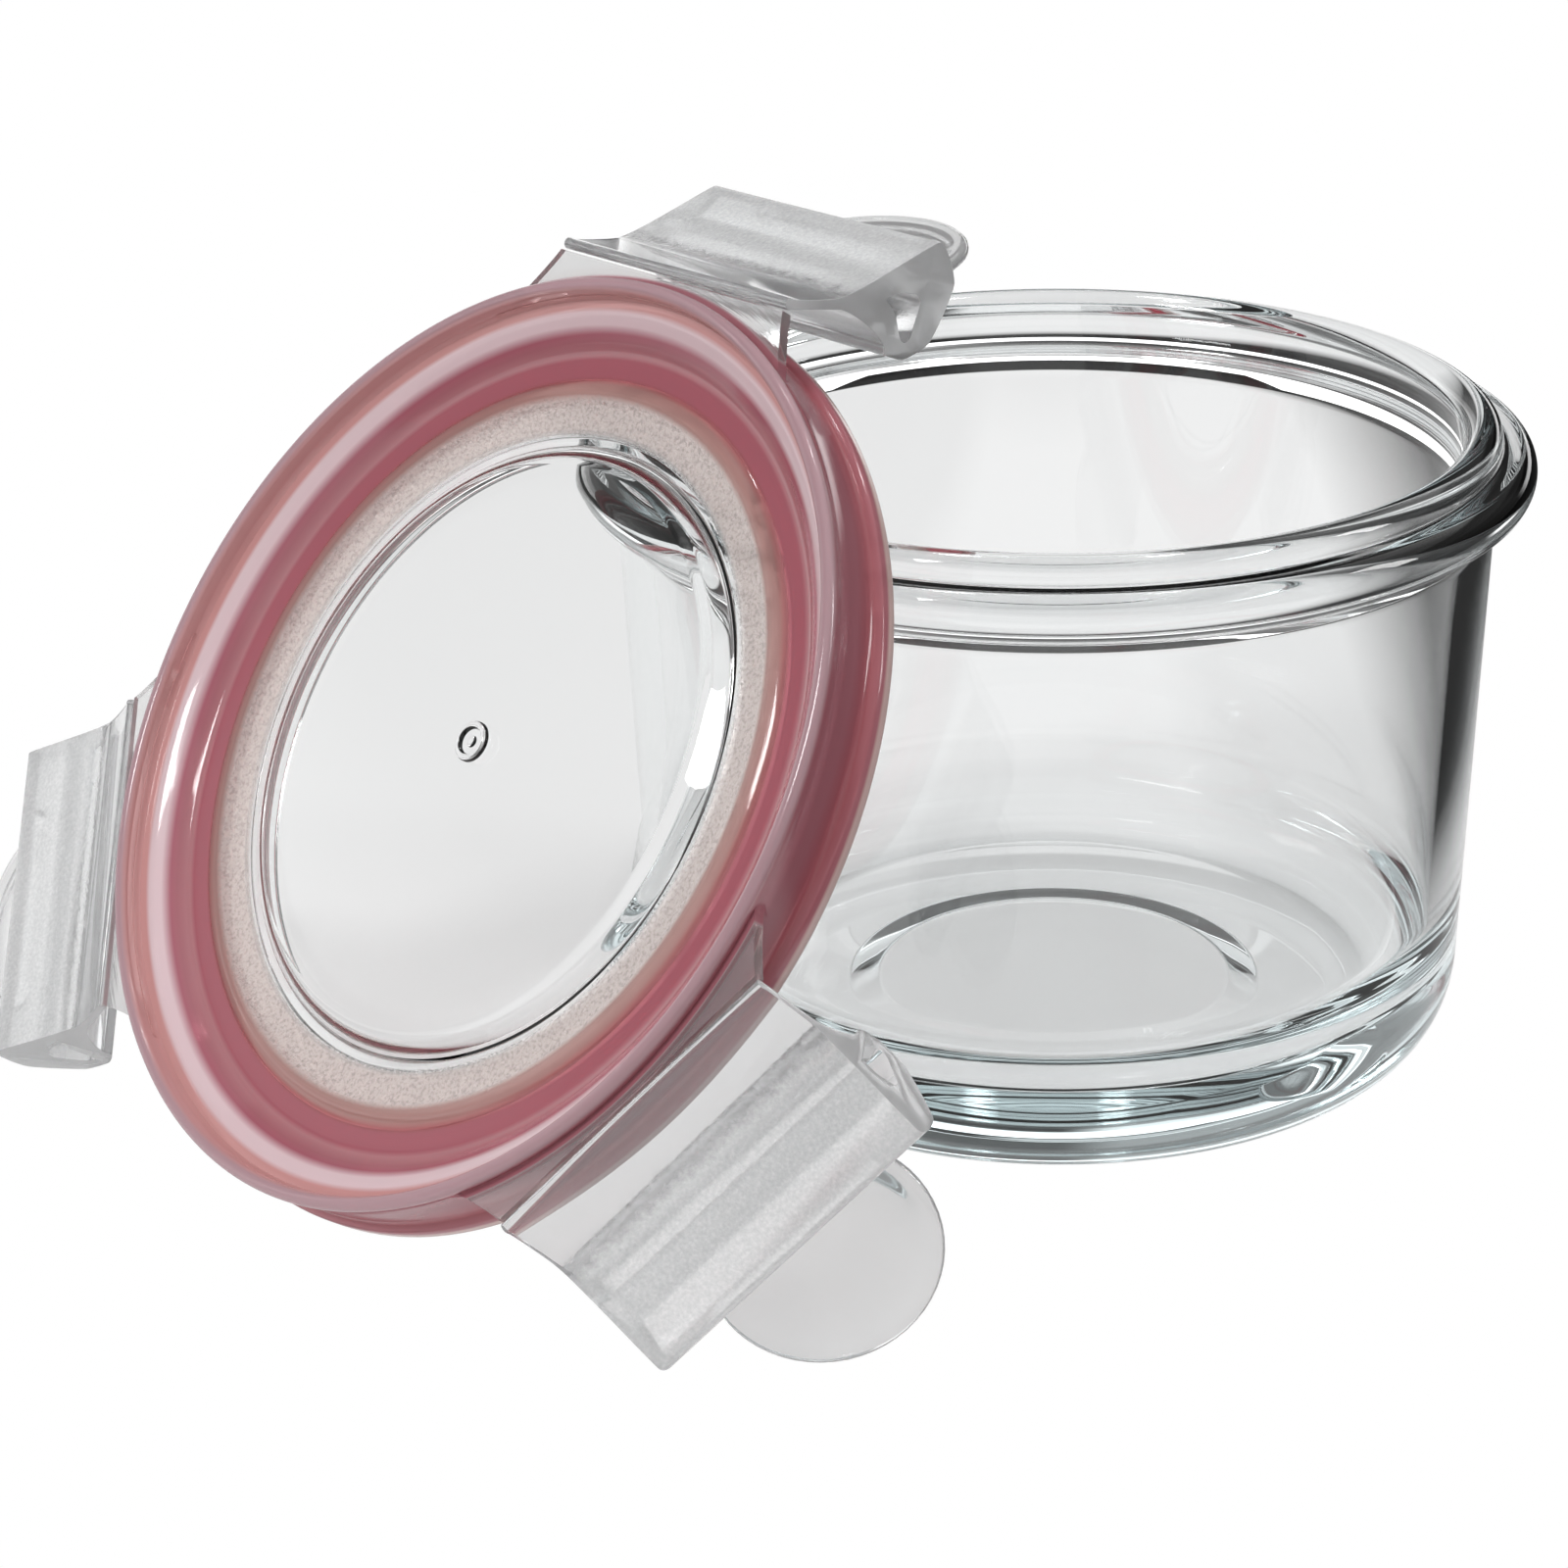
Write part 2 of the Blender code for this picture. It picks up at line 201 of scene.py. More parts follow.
# ---- material helpers -------------------------------------------------------------------
class Mat:
    """A lone Principled BSDF and small helpers to feed it."""

    def __init__(self, name, **values):
        self.mat = bpy.data.materials.new(name)
        self.mat.use_nodes = True
        self.tree = self.mat.node_tree
        self.shader = self.tree.nodes["Principled BSDF"]
        for key, value in values.items():
            self.shader.inputs[key.replace("_", " ")].default_value = value
        self.object = None

    def node(self, kind, **settings):
        n = self.tree.nodes.new(kind)
        for key, value in settings.items():
            setattr(n, key, value)
        return n

    def link(self, a, b):
        self.tree.links.new(a, b)

    def place(self):
        if self.object is None:
            self.object = self.node("ShaderNodeTexCoord")
        return self.object.outputs["Object"]

    def math(self, operation, a, b=None, c=None, clamp=False):
        n = self.node("ShaderNodeMath", operation=operation, use_clamp=clamp)
        for socket, value in zip(n.inputs, (a, b, c)):
            if value is None:
                continue
            if isinstance(value, (int, float)):
                socket.default_value = value
            else:
                self.link(value, socket)
        return n.outputs[0]

    def radius(self):
        """Distance from the piece's own Z axis, in millimetres."""
        split = self.node("ShaderNodeSeparateXYZ")
        self.link(self.place(), split.inputs[0])
        flat = self.node("ShaderNodeCombineXYZ")
        self.link(split.outputs[0], flat.inputs[0])
        self.link(split.outputs[1], flat.inputs[1])
        length = self.node("ShaderNodeVectorMath", operation="LENGTH")
        self.link(flat.outputs[0], length.inputs[0])
        return self.math("MULTIPLY", length.outputs["Value"], 1000.0), split

    def rings(self, radius, split):
        """Coordinates that change only across the turned surface, never round it."""
        n = self.node("ShaderNodeCombineXYZ")
        self.link(self.math("MULTIPLY", radius, 2.2), n.inputs[0])
        self.link(self.math("MULTIPLY", split.outputs[2], 2200.0), n.inputs[1])
        return n.outputs[0]

    def ramp(self, value, stops, interpolation="LINEAR"):
        n = self.node("ShaderNodeValToRGB")
        ramp = n.color_ramp
        ramp.interpolation = interpolation
        while len(ramp.elements) > 1:
            ramp.elements.remove(ramp.elements[-1])
        for i, (at, colour) in enumerate(stops):
            element = ramp.elements[0] if i == 0 else ramp.elements.new(at)
            element.position = at
            if isinstance(colour, (int, float)):
                colour = (colour, colour, colour)
            element.color = (*colour, 1.0)
        self.link(value, n.inputs[0])
        return n.outputs["Color"]

    def noise(self, scale, detail=2.0, rough=0.5, vector=None, distortion=0.0):
        n = self.node("ShaderNodeTexNoise")
        n.inputs["Scale"].default_value = scale
        n.inputs["Detail"].default_value = detail
        n.inputs["Roughness"].default_value = rough
        n.inputs["Distortion"].default_value = distortion
        self.link(vector or self.place(), n.inputs["Vector"])
        return n.outputs[0]

    def bump(self, height, strength, distance, normal=None):
        n = self.node("ShaderNodeBump")
        n.inputs["Strength"].default_value = strength
        n.inputs["Distance"].default_value = distance
        self.link(height, n.inputs["Height"])
        if normal is not None:
            self.link(normal, n.inputs["Normal"])
        return n.outputs[0]

    def mix(self, factor, a, b):
        n = self.node("ShaderNodeMix", data_type="RGBA")
        for socket, value in ((n.inputs[0], factor), (n.inputs[6], a), (n.inputs[7], b)):
            if isinstance(value, (int, float)):
                socket.default_value = value
            elif isinstance(value, tuple):
                socket.default_value = (*value, 1.0)
            else:
                self.link(value, socket)
        return n.outputs[2]

    def feed(self, name, output):
        self.link(output, self.shader.inputs[name])


def span(radius, low, high):
    """Position of a radius on a 0 to 1 ramp."""
    return (radius - low) / (high - low)


# ---- materials ---------------------------------------------------------------------------
def glass_material():
    m = Mat("clear_soda_glass", Roughness=0.0, IOR=1.5)
    m.shader.inputs["Transmission Weight"].default_value = 1.0
    m.shader.inputs["Base Color"].default_value = (1.0, 1.0, 1.0, 1.0)
    # pressed glass is never quite true: slow waves over the wall
    wave = m.noise(38.0, 1.5, 0.5)
    first = m.bump(wave, 0.08, 0.0002)
    m.feed("Normal", first)
    absorb = m.node("ShaderNodeVolumeAbsorption")
    absorb.inputs["Color"].default_value = (0.66, 0.84, 0.87, 1.0)
    absorb.inputs["Density"].default_value = 8.0
    m.link(absorb.outputs[0], m.tree.nodes["Material Output"].inputs["Volume"])
    # a faint difference in how clean the surface is
    dust = m.noise(22.0, 3.0, 0.6)
    m.feed("Roughness", m.ramp(dust, [(0.0, 0.0), (0.55, 0.0), (1.0, 0.018)]))
    return m.mat


def lid_material():
    m = Mat("lid_clear_polypropylene", IOR=1.49)
    radius, split = m.radius()
    low, high = 28.0, 50.0
    at = m.node("ShaderNodeMapRange")
    at.inputs["From Min"].default_value = low
    at.inputs["From Max"].default_value = high
    m.link(radius, at.inputs["Value"])
    where = at.outputs[0]
    s = lambda r: span(r, low, high)
    zone = m.node("ShaderNodeMapRange")
    zone.inputs["From Min"].default_value = 0.0020
    zone.inputs["From Max"].default_value = 0.0014
    m.link(split.outputs[2], zone.inputs["Value"])
    outside = m.node("ShaderNodeMapRange")
    outside.inputs["From Min"].default_value = 46.95
    outside.inputs["From Max"].default_value = 47.3
    m.link(radius, outside.inputs["Value"])
    ended = m.node("ShaderNodeMapRange")
    ended.inputs["From Min"].default_value = 48.7
    ended.inputs["From Max"].default_value = 48.4
    m.link(radius, ended.inputs["Value"])
    skirt = m.math("MULTIPLY", m.math("MULTIPLY", zone.outputs[0], outside.outputs[0]), ended.outputs[0])
    down = m.node("ShaderNodeMapRange")
    down.inputs["From Min"].default_value = 0.0018
    down.inputs["From Max"].default_value = -0.0068
    m.link(split.outputs[2], down.inputs["Value"])
    drop = down.outputs[0]
    clear, frost, channel, slope, flat, edge = (
        (0.965, 0.97, 0.97), (0.98, 0.88, 0.84), (0.70, 0.22, 0.28), (0.97, 0.76, 0.80), (0.78, 0.40, 0.39), (0.60, 0.39, 0.43)
    )
    # the lighter rose band from 41.5 to 42.5 mm, between the dark red channel and the darker line at 43.2 mm, is partly
    # the seal's red seen through the lid and partly painted highlight, standing in for the streaks of reflected and
    # refracted light on the channel's outer wall
    base = m.ramp(where, [
        (0.0, clear), (s(32.8), clear), (s(33.6), frost), (s(36.4), frost), (s(37.0), (0.56, 0.33, 0.30)), (s(38.2), (0.54, 0.29, 0.27)),
        (s(38.7), (0.60, 0.19, 0.20)), (s(39.2), channel), (s(41.0), channel), (s(41.5), (0.84, 0.42, 0.46)), (s(42.5), (0.74, 0.30, 0.35)),
        (s(43.2), (0.60, 0.19, 0.25)), (s(44.0), slope), (s(45.1), slope), (s(45.6), flat), (s(46.5), flat), (s(46.9), edge), (s(48.2), edge),
        (s(48.8), (0.86, 0.84, 0.84)), (1.0, (0.90, 0.90, 0.90)),
    ])
    rose = (0.44, 0.165, 0.20)
    wall = m.ramp(drop, [(0.0, (0.50, 0.28, 0.31)), (0.07, rose), (0.45, rose), (0.70, (0.42, 0.10, 0.125)), (0.84, rose), (0.885, (0.77, 0.58, 0.54)), (1.0, (0.82, 0.66, 0.63))])
    inside = m.ramp(where, [(0.0, 0.0), (s(32.8), 0.0), (s(33.5), 1.0), (s(36.4), 1.0), (s(37.1), 0.0), (1.0, 0.0)])
    pits = m.math("MULTIPLY", inside, m.ramp(m.noise(2300.0, 2.0, 0.6), [(0.36, 0.75), (0.52, 0.0), (1.0, 0.0)]))
    base = m.mix(pits, base, (0.64, 0.57, 0.55))
    m.feed("Base Color", m.mix(skirt, base, wall))
    clearness = m.ramp(where, [
        (0.0, 1.0), (s(32.8), 1.0), (s(33.5), 0.58), (s(36.6), 0.58), (s(37.6), 0.45), (s(39.0), 0.55),
        (s(42.6), 0.56), (s(44.0), 0.30), (s(45.6), 0.30), (s(47.0), 0.32), (s(48.2), 0.36), (s(48.8), 0.88), (1.0, 0.90),
    ])
    wall_clear = m.ramp(drop, [(0.0, 0.30), (0.08, 0.34), (0.84, 0.34), (0.89, 0.40), (1.0, 0.45)])
    m.feed("Transmission Weight", m.mix(skirt, clearness, wall_clear))
    rough = m.ramp(where, [
        (0.0, 0.02), (s(32.8), 0.02), (s(33.4), 0.22), (s(36.4), 0.22), (s(37.2), 0.10), (s(39.0), 0.05),
        (s(42.0), 0.05), (s(45.4), 0.08), (s(46.4), 0.12), (s(48.4), 0.12), (s(49.0), 0.05), (1.0, 0.05),
    ])
    m.feed("Roughness", rough)
    # spark-eroded grain on the frosted ring only, on top of a very slight moulding ripple
    grain = m.noise(1700.0, 2.5, 0.65)
    gated = m.math("MULTIPLY", grain, inside)
    ripple = m.bump(m.noise(55.0, 1.0, 0.5), 0.08, 0.0002)
    # fine turned lines round the skirt and the sunk ring
    turned = m.noise(1.0, 3.0, 0.6, vector=m.rings(radius, split))
    lines = m.bump(m.math("MULTIPLY", turned, m.ramp(where, [(0.0, 0.0), (s(36.9), 0.0), (s(37.4), 1.0), (1.0, 1.0)])), 0.5, 0.00003, ripple)
    m.feed("Normal", m.bump(gated, 1.0, 0.00030, lines))
    return m.mat


def seal_material():
    m = Mat("seal_red_silicone", Roughness=0.42, IOR=1.41)
    cloud = m.noise(160.0, 3.0, 0.6)
    m.feed("Base Color", m.ramp(cloud, [(0.25, (0.54, 0.045, 0.085)), (0.75, (0.62, 0.060, 0.105))]))
    m.shader.inputs["Subsurface Weight"].default_value = 0.25
    m.shader.inputs["Subsurface Radius"].default_value = (0.004, 0.001, 0.001)
    m.shader.inputs["Subsurface Scale"].default_value = 0.6
    m.feed("Roughness", m.ramp(m.noise(900.0, 2.0, 0.5), [(0.3, 0.34), (0.7, 0.48)]))
    m.feed("Normal", m.bump(m.noise(1500.0, 2.0, 0.5), 0.12, 0.0003))
    return m.mat


def clip_body_material():
    """Clear at the hinge, frosted on the grip; the frosting starts raggedly past the web."""
    m = Mat("clip_part_frosted_polypropylene", IOR=1.49)
    split = m.node("ShaderNodeSeparateXYZ")
    m.link(m.place(), split.inputs[0])
    along = m.math("MULTIPLY", split.outputs[0], 1000.0)
    ragged = m.math("MULTIPLY_ADD", m.noise(900.0, 3.0, 0.7), 3.2, -1.6)
    edge = m.node("ShaderNodeMapRange")
    edge.inputs["From Min"].default_value = 6.6
    edge.inputs["From Max"].default_value = 8.8
    m.link(m.math("ADD", along, ragged), edge.inputs["Value"])
    frosted = edge.outputs[0]
    top = m.node("ShaderNodeMapRange")
    top.inputs["From Min"].default_value = -0.004
    top.inputs["From Max"].default_value = -0.001
    m.link(split.outputs[2], top.inputs["Value"])
    grip = m.math("MULTIPLY", frosted, top.outputs[0])
    m.feed("Base Color", m.mix(grip, (0.93, 0.935, 0.94), m.ramp(m.noise(2600.0, 2.0, 0.6), [(0.32, (0.80, 0.81, 0.815)), (0.55, (0.90, 0.905, 0.91)), (0.72, (1.0, 1.0, 1.0))])))
    m.feed("Transmission Weight", m.ramp(grip, [(0.0, 0.90), (1.0, 0.52)]))
    m.feed("Roughness", m.ramp(grip, [(0.0, 0.05), (1.0, 0.20)]))
    # coarse grain where the frosting begins, finer further out
    coarse = m.node("ShaderNodeMapRange")
    coarse.inputs["From Min"].default_value = 12.5
    coarse.inputs["From Max"].default_value = 16.5
    coarse.inputs["To Min"].default_value = 1.0
    coarse.inputs["To Max"].default_value = 0.25
    m.link(along, coarse.inputs["Value"])
    grain = m.math("MULTIPLY", m.math("MULTIPLY", m.noise(1700.0, 2.5, 0.65), grip), coarse.outputs[0])
    ripple = m.bump(m.noise(60.0, 1.0, 0.5), 0.15, 0.0002)
    m.feed("Normal", m.bump(grain, 1.0, 0.00010, ripple))
    return m.mat


def clip_plain_material(name, clearness, roughness, colour, wave):
    m = Mat(name, IOR=1.49)
    dark = tuple(c * 0.94 for c in colour)
    m.feed("Base Color", m.ramp(m.noise(75.0, 2.0, 0.5), [(0.3, dark), (0.7, colour)]))
    m.shader.inputs["Transmission Weight"].default_value = clearness
    m.feed("Roughness", m.ramp(m.noise(260.0, 2.0, 0.5), [(0.3, roughness * 0.7), (0.7, roughness * 1.3)]))
    m.feed("Normal", m.bump(m.noise(110.0, 2.0, 0.5), wave, 0.0003))
    return m.mat


GLASS = glass_material()
LID = lid_material()
SEAL = seal_material()
CLIP_MATS = [
    clip_body_material(),
    clip_plain_material("clip_clear_tab", 0.84, 0.05, (0.95, 0.952, 0.955), 0.2),
    clip_plain_material("clip_smooth_end", 0.66, 0.14, (0.84, 0.845, 0.85), 0.15),
]


# ---- glass jar ----------------------------------------------------------------------------
def jar():
    wall = (45.0 - 42.85) / (59.0 - 10.0)
    outer = lambda z: 42.85 + wall * (z - 10.0)
    inner = lambda z: outer(z) - 3.3
    p = [(0.0, 1.1), (6.0, 1.1), (12.0, 1.1), (16.5, 1.1)]
    p += hermite((18.4, 1.1), (19.0, 1.0), (0.55, 0.0), (0.55, -0.18), 5) + [(19.6, 0.805), (20.3, 0.577), (21.0, 0.35)]
    p += hermite((21.6, 0.155), (22.2, 0.0), (0.55, -0.18), (0.55, 0.0), 5) + [(26.0, 0.0), (31.0, 0.0)]
    p += arc(35.55, 10.0, 7.3, 10.0, -90, 0, 26)
    p += [(outer(z), z) for z in (13.0, 18.0, 26.0, 34.0, 42.0, 50.0, 55.0, 57.6)]
    bead = arc(46.35, 62.8, 2.65, 2.65, -76, 62, 30)
    p += [(outer(58.2), 58.2), (45.02, 58.36), (45.09, 58.48), (45.26, 58.78), (45.55, 59.28)]
    p += hermite((45.86, 59.82), bead[0], (0.3, 0.52), (0.9, 0.1), 6)[:-1]
    p += bead
    lip = arc(43.55, 65.85, 1.95, 1.95, -14, 180, 30)
    p += hermite(bead[-1], lip[0], (-1.0, 0.5), (-0.25, 1.0), 5)[1:-1]
    p += lip
    p += hermite(lip[-1], (inner(58.0), 58.0), (0.0, -2.0), (-0.14, -3.0), 8)[1:]
    p += [(inner(z), z) for z in (52.0, 46.0, 38.0, 30.0, 22.0)]
    p += arc(inner(18.4) - 11.0, 18.4, 11.0, 11.0, 0, -90, 26)
    p += [(24.0, 7.4), (18.0, 7.4), (12.0, 7.4), (6.0, 7.4), (0.0, 7.4)]
    obj = revolved("jar_visual", p, [GLASS], Matrix.Translation(Vector((JAR_AT[0], JAR_AT[1], 0)) * MM), 256, sharp=0)
    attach(obj, "jar")
    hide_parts("glass_jar")
    return obj


# ---- lid -----------------------------------------------------------------------------------
def lid_profile():
    t = 1.3
    p = [(0.0, -0.9), (10.0, -0.9), (20.0, -0.9), (27.0, -0.9)]
    p += hermite((29.2, -0.9), (33.1, -2.3), (2.4, 0.0), (2.2, 0.0), 16)
    p += [(33.6, -2.3), (35.2, -2.15), (36.3, -1.97)]
    p += hermite((36.6, -1.9), (38.9, -2.4), (1.6, 1.3), (0.9, -1.2), 12)[1:]
    p += [(39.6, -2.4), (40.6, -2.4), (41.3, -2.38)]
    p += hermite((41.6, -2.34), (45.1, -0.02), (1.5, 0.35), (2.4, 0.5), 12)[1:]
    p += [(45.7, 0.05)]
    p += hermite((46.2, 0.12), (46.5, 0.9), (0.25, 0.05), (0.05, 0.5), 5)[1:]
    p += arc(47.25, 1.75, 0.75, 0.75, 168, -5, 16)
    p += [(47.75, 0.9), (47.55, 0.0), (47.5, -1.5), (47.5, -3.6)]
    p += hermite((47.52, -4.1), (48.3, -4.9), (0.0, -0.5), (0.0, -0.6), 6)[1:]
    p += [(48.3, -5.6)] + arc(47.7, -6.2, 0.6, 0.6, 0, -90, 6)
    ins = 47.5 - t
    p += hermite((ins + 0.6, -6.8), (ins, -5.2), (-0.5, 0.0), (0.0, 1.0), 5)
    p += [(ins, -3.4), (ins - 0.05, -2.0)]
    p += hermite((ins - 0.15, -t - 0.25), (45.1, -t - 0.1), (-0.2, 0.2), (-0.6, 0.0), 4)[1:]
    p += hermite((44.6, -t - 0.15), (42.0, -3.65), (-1.2, -0.5), (-1.0, -0.3), 8)[1:]
    p += [(40.0, -3.7), (37.0, -3.7), (33.2, -3.7)]
    p += [(32.75, -3.9), (32.7, -4.2)] + arc(32.35, -4.85, 0.35, 0.35, 0, -90, 5)
    p += arc(31.55, -4.85, 0.35, 0.35, -90, -180, 5)
    p += hermite((31.2, -4.2), (29.8, -2.2), (0.0, 1.6), (-1.3, 0.0), 10)[1:]
    p += [(26.0, -2.2), (18.0, -2.2), (9.0, -2.2), (0.0, -2.2)]
    return p


def ear_outline():
    inner, edge, half, foot = 46.4, 49.1, CLIP_W / 2, 22.5
    start = (math.sqrt(inner**2 - foot**2), foot)
    side = hermite(start, (edge, half), (2.2, -4.6), (2.6, -0.6), 14)
    back = [(inner * math.cos(a), inner * math.sin(a)) for a in
            (math.asin(foot / inner) * (1 - 2 * i / 24) for i in range(25))]
    return side + [(x, -y) for x, y in reversed(side)] + [(x, y) for x, y in reversed(back)][1:-1]


def lid():
    obj = revolved("lid_visual", lid_profile(), [LID], LID_M, 224, sharp=0)
    for az, fold in CLIPS.values():
        ear = slab("ear", ear_outline(), -0.2, 1.0, [LID], LID_M @ Matrix.Rotation(math.radians(az), 4, "Z"))
        joined(obj, ear, "UNION")
    nub = revolved("nub", [(0.0, -1.3), (2.1, -1.3), (2.1, -0.62), (2.0, -0.42), (1.8, -0.3), (1.6, -0.32), (1.42, -0.46), (1.3, -0.74),
                           (0.62, -0.76), (0.5, -0.6), (0.3, -0.5), (0.0, -0.48)], [LID], LID_M, 40, sharp=0)
    joined(obj, nub, "UNION")
    for face in obj.data.polygons:
        face.use_smooth = True
    obj.data.set_sharp_from_angle(angle=math.radians(42))
    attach(obj, "lid")
    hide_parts("lid_shell")
    return obj


def seal():
    top, low = -1.7, -4.0
    p = [(38.3, low - 0.05), (41.7, low), (44.8, top - 0.05), (45.75, top - 0.05), (45.85, top - 0.5), (45.85, top - 2.9),
         (45.35, top - 3.3), (44.85, top - 2.9), (44.35, top - 2.1), (43.5, top - 2.5), (41.5, low - 1.15), (40.5, low - 1.4), (38.6, low - 1.15)]
    obj = revolved("seal_visual", rounded(p, 0.3, 4, closed=True), [SEAL], LID_M, 192, closed=True)
    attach(obj, "lid")
    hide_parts("seal_ring")
    return obj


# ---- clips ---------------------------------------------------------------------------------
def clip_outline():
    top = hermite((0.4, 0.45), (6.0, 0.0), (2.0, -0.7), (2.4, 0.2), 10)
    top += hermite((6.0, 0.0), (18.7, 4.3), (7.0, 0.3), (6.0, 1.6), 24)
    top += hermite((18.7, 4.3), (21.1, 0.0), (3.0, 0.6), (0.2, -3.8), 16)
    back = hermite((21.1, 0.0), (18.1, -5.7), (-0.2, -3.0), (-2.8, -3.2), 14)
    toe = hermite((18.1, -5.7), (14.7, -6.95), (-1.4, -1.3), (-1.6, 0.1), 7)
    nose = hermite((14.7, -6.95), (12.25, -6.0), (-1.4, 0.2), (-0.2, 1.4), 7)
    seat = hermite((12.25, -6.0), (6.3, -1.15), (1.4, 4.6), (-4.0, 0.5), 16)
    knuckle = arc(0, 0, 0.6, 0.6, -75, -310, 12)
    return top + back + toe + nose + seat + knuckle


def tab_mesh(place):
    """Round finger tab with a soft rim and a shallow dish on each side, its free end tilted up."""
    half, long_, root, rim, dish = 11.75, 10.9, -5.6, 0.75, 0.52
    bm = bmesh.new()
    turns = 56
    rows = []
    shares = [(1.0, 0.0, 1), (0.993, 0.34, 1), (0.965, 0.62, 1), (0.93, rim, 1), (0.88, rim, 1), (0.82, 0.60, 1), (0.74, dish, 1), (0.5, 0.46, 1), (0.25, 0.44, 1)]
    levels = [(k, z) for k, z, _ in reversed(shares)] + [(k, -z) for k, z, _ in shares[1:]]
    for k, z in levels:
        ring = []
        for i in range(turns):
            a = 2 * math.pi * i / turns
            x, y = long_ * math.cos(a), half * math.sin(a)
            if x < 0:
                x = max(x * 0.9, root)
            ring.append(bm.verts.new((x * k * MM, y * k * MM, z * MM)))
        rows.append(ring)
    for low, high in zip(rows, rows[1:]):
        for i in range(turns):
            j = (i + 1) % turns
            bm.faces.new([low[i], low[j], high[j], high[i]])
    for ring, z in ((rows[0], 0.44), (rows[-1], -0.44)):
        tip = bm.verts.new((0, 0, z * MM))
        for i in range(turns):
            bm.faces.new([ring[i], ring[(i + 1) % turns], tip])
    where = place @ Matrix.Translation(Vector((23.5, 0, -0.4)) * MM) @ Matrix.Rotation(-math.radians(11.5), 4, "Y")
    return add("tab", bm, CLIP_MATS, where, 0)


def clip(name, az, fold):
    half = CLIP_W / 2
    place = (
        LID_M
        @ Matrix.Rotation(math.radians(az), 4, "Z")
        @ Matrix.Translation(Vector((HINGE_R, 0, HINGE_H)) * MM)
        @ Matrix.Rotation(math.radians(fold), 4, "Y")
    )
    mats = CLIP_MATS
    obj = prism(name + "_visual", clip_outline(), -half, half, mats, place)
    pocket = rounded([(12.2, -0.7), (13.5, -2.2), (14.3, -4.9), (14.9, -5.4), (15.6, -4.9), (16.8, -1.4), (16.2, -0.6), (14.2, -0.2)], 0.35, 3, closed=True)
    joined(obj, prism("pocket", pocket, -half - 1, half + 1, mats, place), "DIFFERENCE")
    soften(obj, 0.28, 3, 50)
    joined(obj, tab_mesh(place), "UNION")
    bm = bmesh.new()
    bm.from_mesh(obj.data)
    for face in bm.faces:
        c = face.calc_center_median() / MM
        n = face.normal
        if abs(n.y) > 0.7 and abs(c.y) > half - 0.6:
            face.material_index = 2
        elif c.x > 21.3 or (c.x > 19.9 and abs(n.x) < 0.5 and -2.2 < c.z < 0.6 and abs(c.y) < 12.0):
            face.material_index = 1
        else:
            face.material_index = 0
    bm.to_mesh(obj.data)
    bm.free()
    for face in obj.data.polygons:
        face.use_smooth = True
    obj.data.set_sharp_from_angle(angle=math.radians(38))
    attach(obj, name)
    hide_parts(name)
    return obj


# ---- stage: camera, floor, light ---------------------------------------------------------
def camera():
    data = bpy.data.cameras.new("camera")
    data.sensor_width = 36.0
    data.lens = 103.5
    data.clip_start = 0.01
    data.clip_end = 50.0
    obj = bpy.data.objects.new("camera", data)
    scene.collection.objects.link(obj)
    right = Vector((0.99981, -0.0075, -0.01796)).normalized()
    down = Vector((-0.01946, -0.38548, -0.92251))
    down = (down - right * down.dot(right)).normalized()
    ahead = right.cross(down)
    obj.matrix_world = Matrix((
        (right.x, -down.x, -ahead.x, 5.56 * MM),
        (right.y, -down.y, -ahead.y, -425.22 * MM),
        (right.z, -down.z, -ahead.z, 211.28 * MM),
        (0, 0, 0, 1),
    ))
    scene.camera = obj


def stage_material(name, colour, glow):
    """Matt white sheet on a dark table. Seen straight on it is the plain white of a light table."""
    mat = bpy.data.materials.new(name)
    mat.use_nodes = True
    tree = mat.node_tree
    shader = tree.nodes["Principled BSDF"]
    place = tree.nodes.new("ShaderNodeTexCoord")
    split = tree.nodes.new("ShaderNodeSeparateXYZ")
    tree.links.new(place.outputs["Object"], split.inputs[0])
    # the white sheet is 0.35 m wide and runs back 0.5 m; past its edges the table is dark
    share = None
    for axis, near, far in ((0, 0.088, 0.120), (0, -0.20, -0.28), (1, 0.42, 0.80), (1, -0.15, -0.21)):
        edge = tree.nodes.new("ShaderNodeMapRange")
        edge.inputs["From Min"].default_value = near
        edge.inputs["From Max"].default_value = far
        edge.inputs["To Min"].default_value = 1.0
        edge.inputs["To Max"].default_value = 0.0
        tree.links.new(split.outputs[axis], edge.inputs["Value"])
        if share is None:
            share = edge.outputs[0]
        else:
            both = tree.nodes.new("ShaderNodeMath")
            both.operation = "MULTIPLY"
            tree.links.new(share, both.inputs[0])
            tree.links.new(edge.outputs[0], both.inputs[1])
            share = both.outputs[0]
    fade = tree.nodes.new("ShaderNodeMapRange")
    fade.inputs["To Min"].default_value = 0.03
    fade.inputs["To Max"].default_value = colour
    tree.links.new(share, fade.inputs["Value"])
    tree.links.new(fade.outputs[0], shader.inputs["Base Color"])
    shine = tree.nodes.new("ShaderNodeMath")
    shine.operation = "MULTIPLY"
    shine.inputs[1].default_value = 0.50
    tree.links.new(share, shine.inputs[0])
    shader.inputs["Emission Color"].default_value = (1.0, 1.0, 1.0, 1.0)
    tree.links.new(shine.outputs[0], shader.inputs["Emission Strength"])
    shader.inputs["Roughness"].default_value = 0.9
    shader.inputs["Specular IOR Level"].default_value = 0.0
    plain = tree.nodes.new("ShaderNodeEmission")
    plain.inputs["Strength"].default_value = glow
    path = tree.nodes.new("ShaderNodeLightPath")
    mix = tree.nodes.new("ShaderNodeMixShader")
    tree.links.new(path.outputs["Is Camera Ray"], mix.inputs[0])
    tree.links.new(shader.outputs[0], mix.inputs[1])
    tree.links.new(plain.outputs[0], mix.inputs[2])
    tree.links.new(mix.outputs[0], tree.nodes["Material Output"].inputs["Surface"])
    return mat


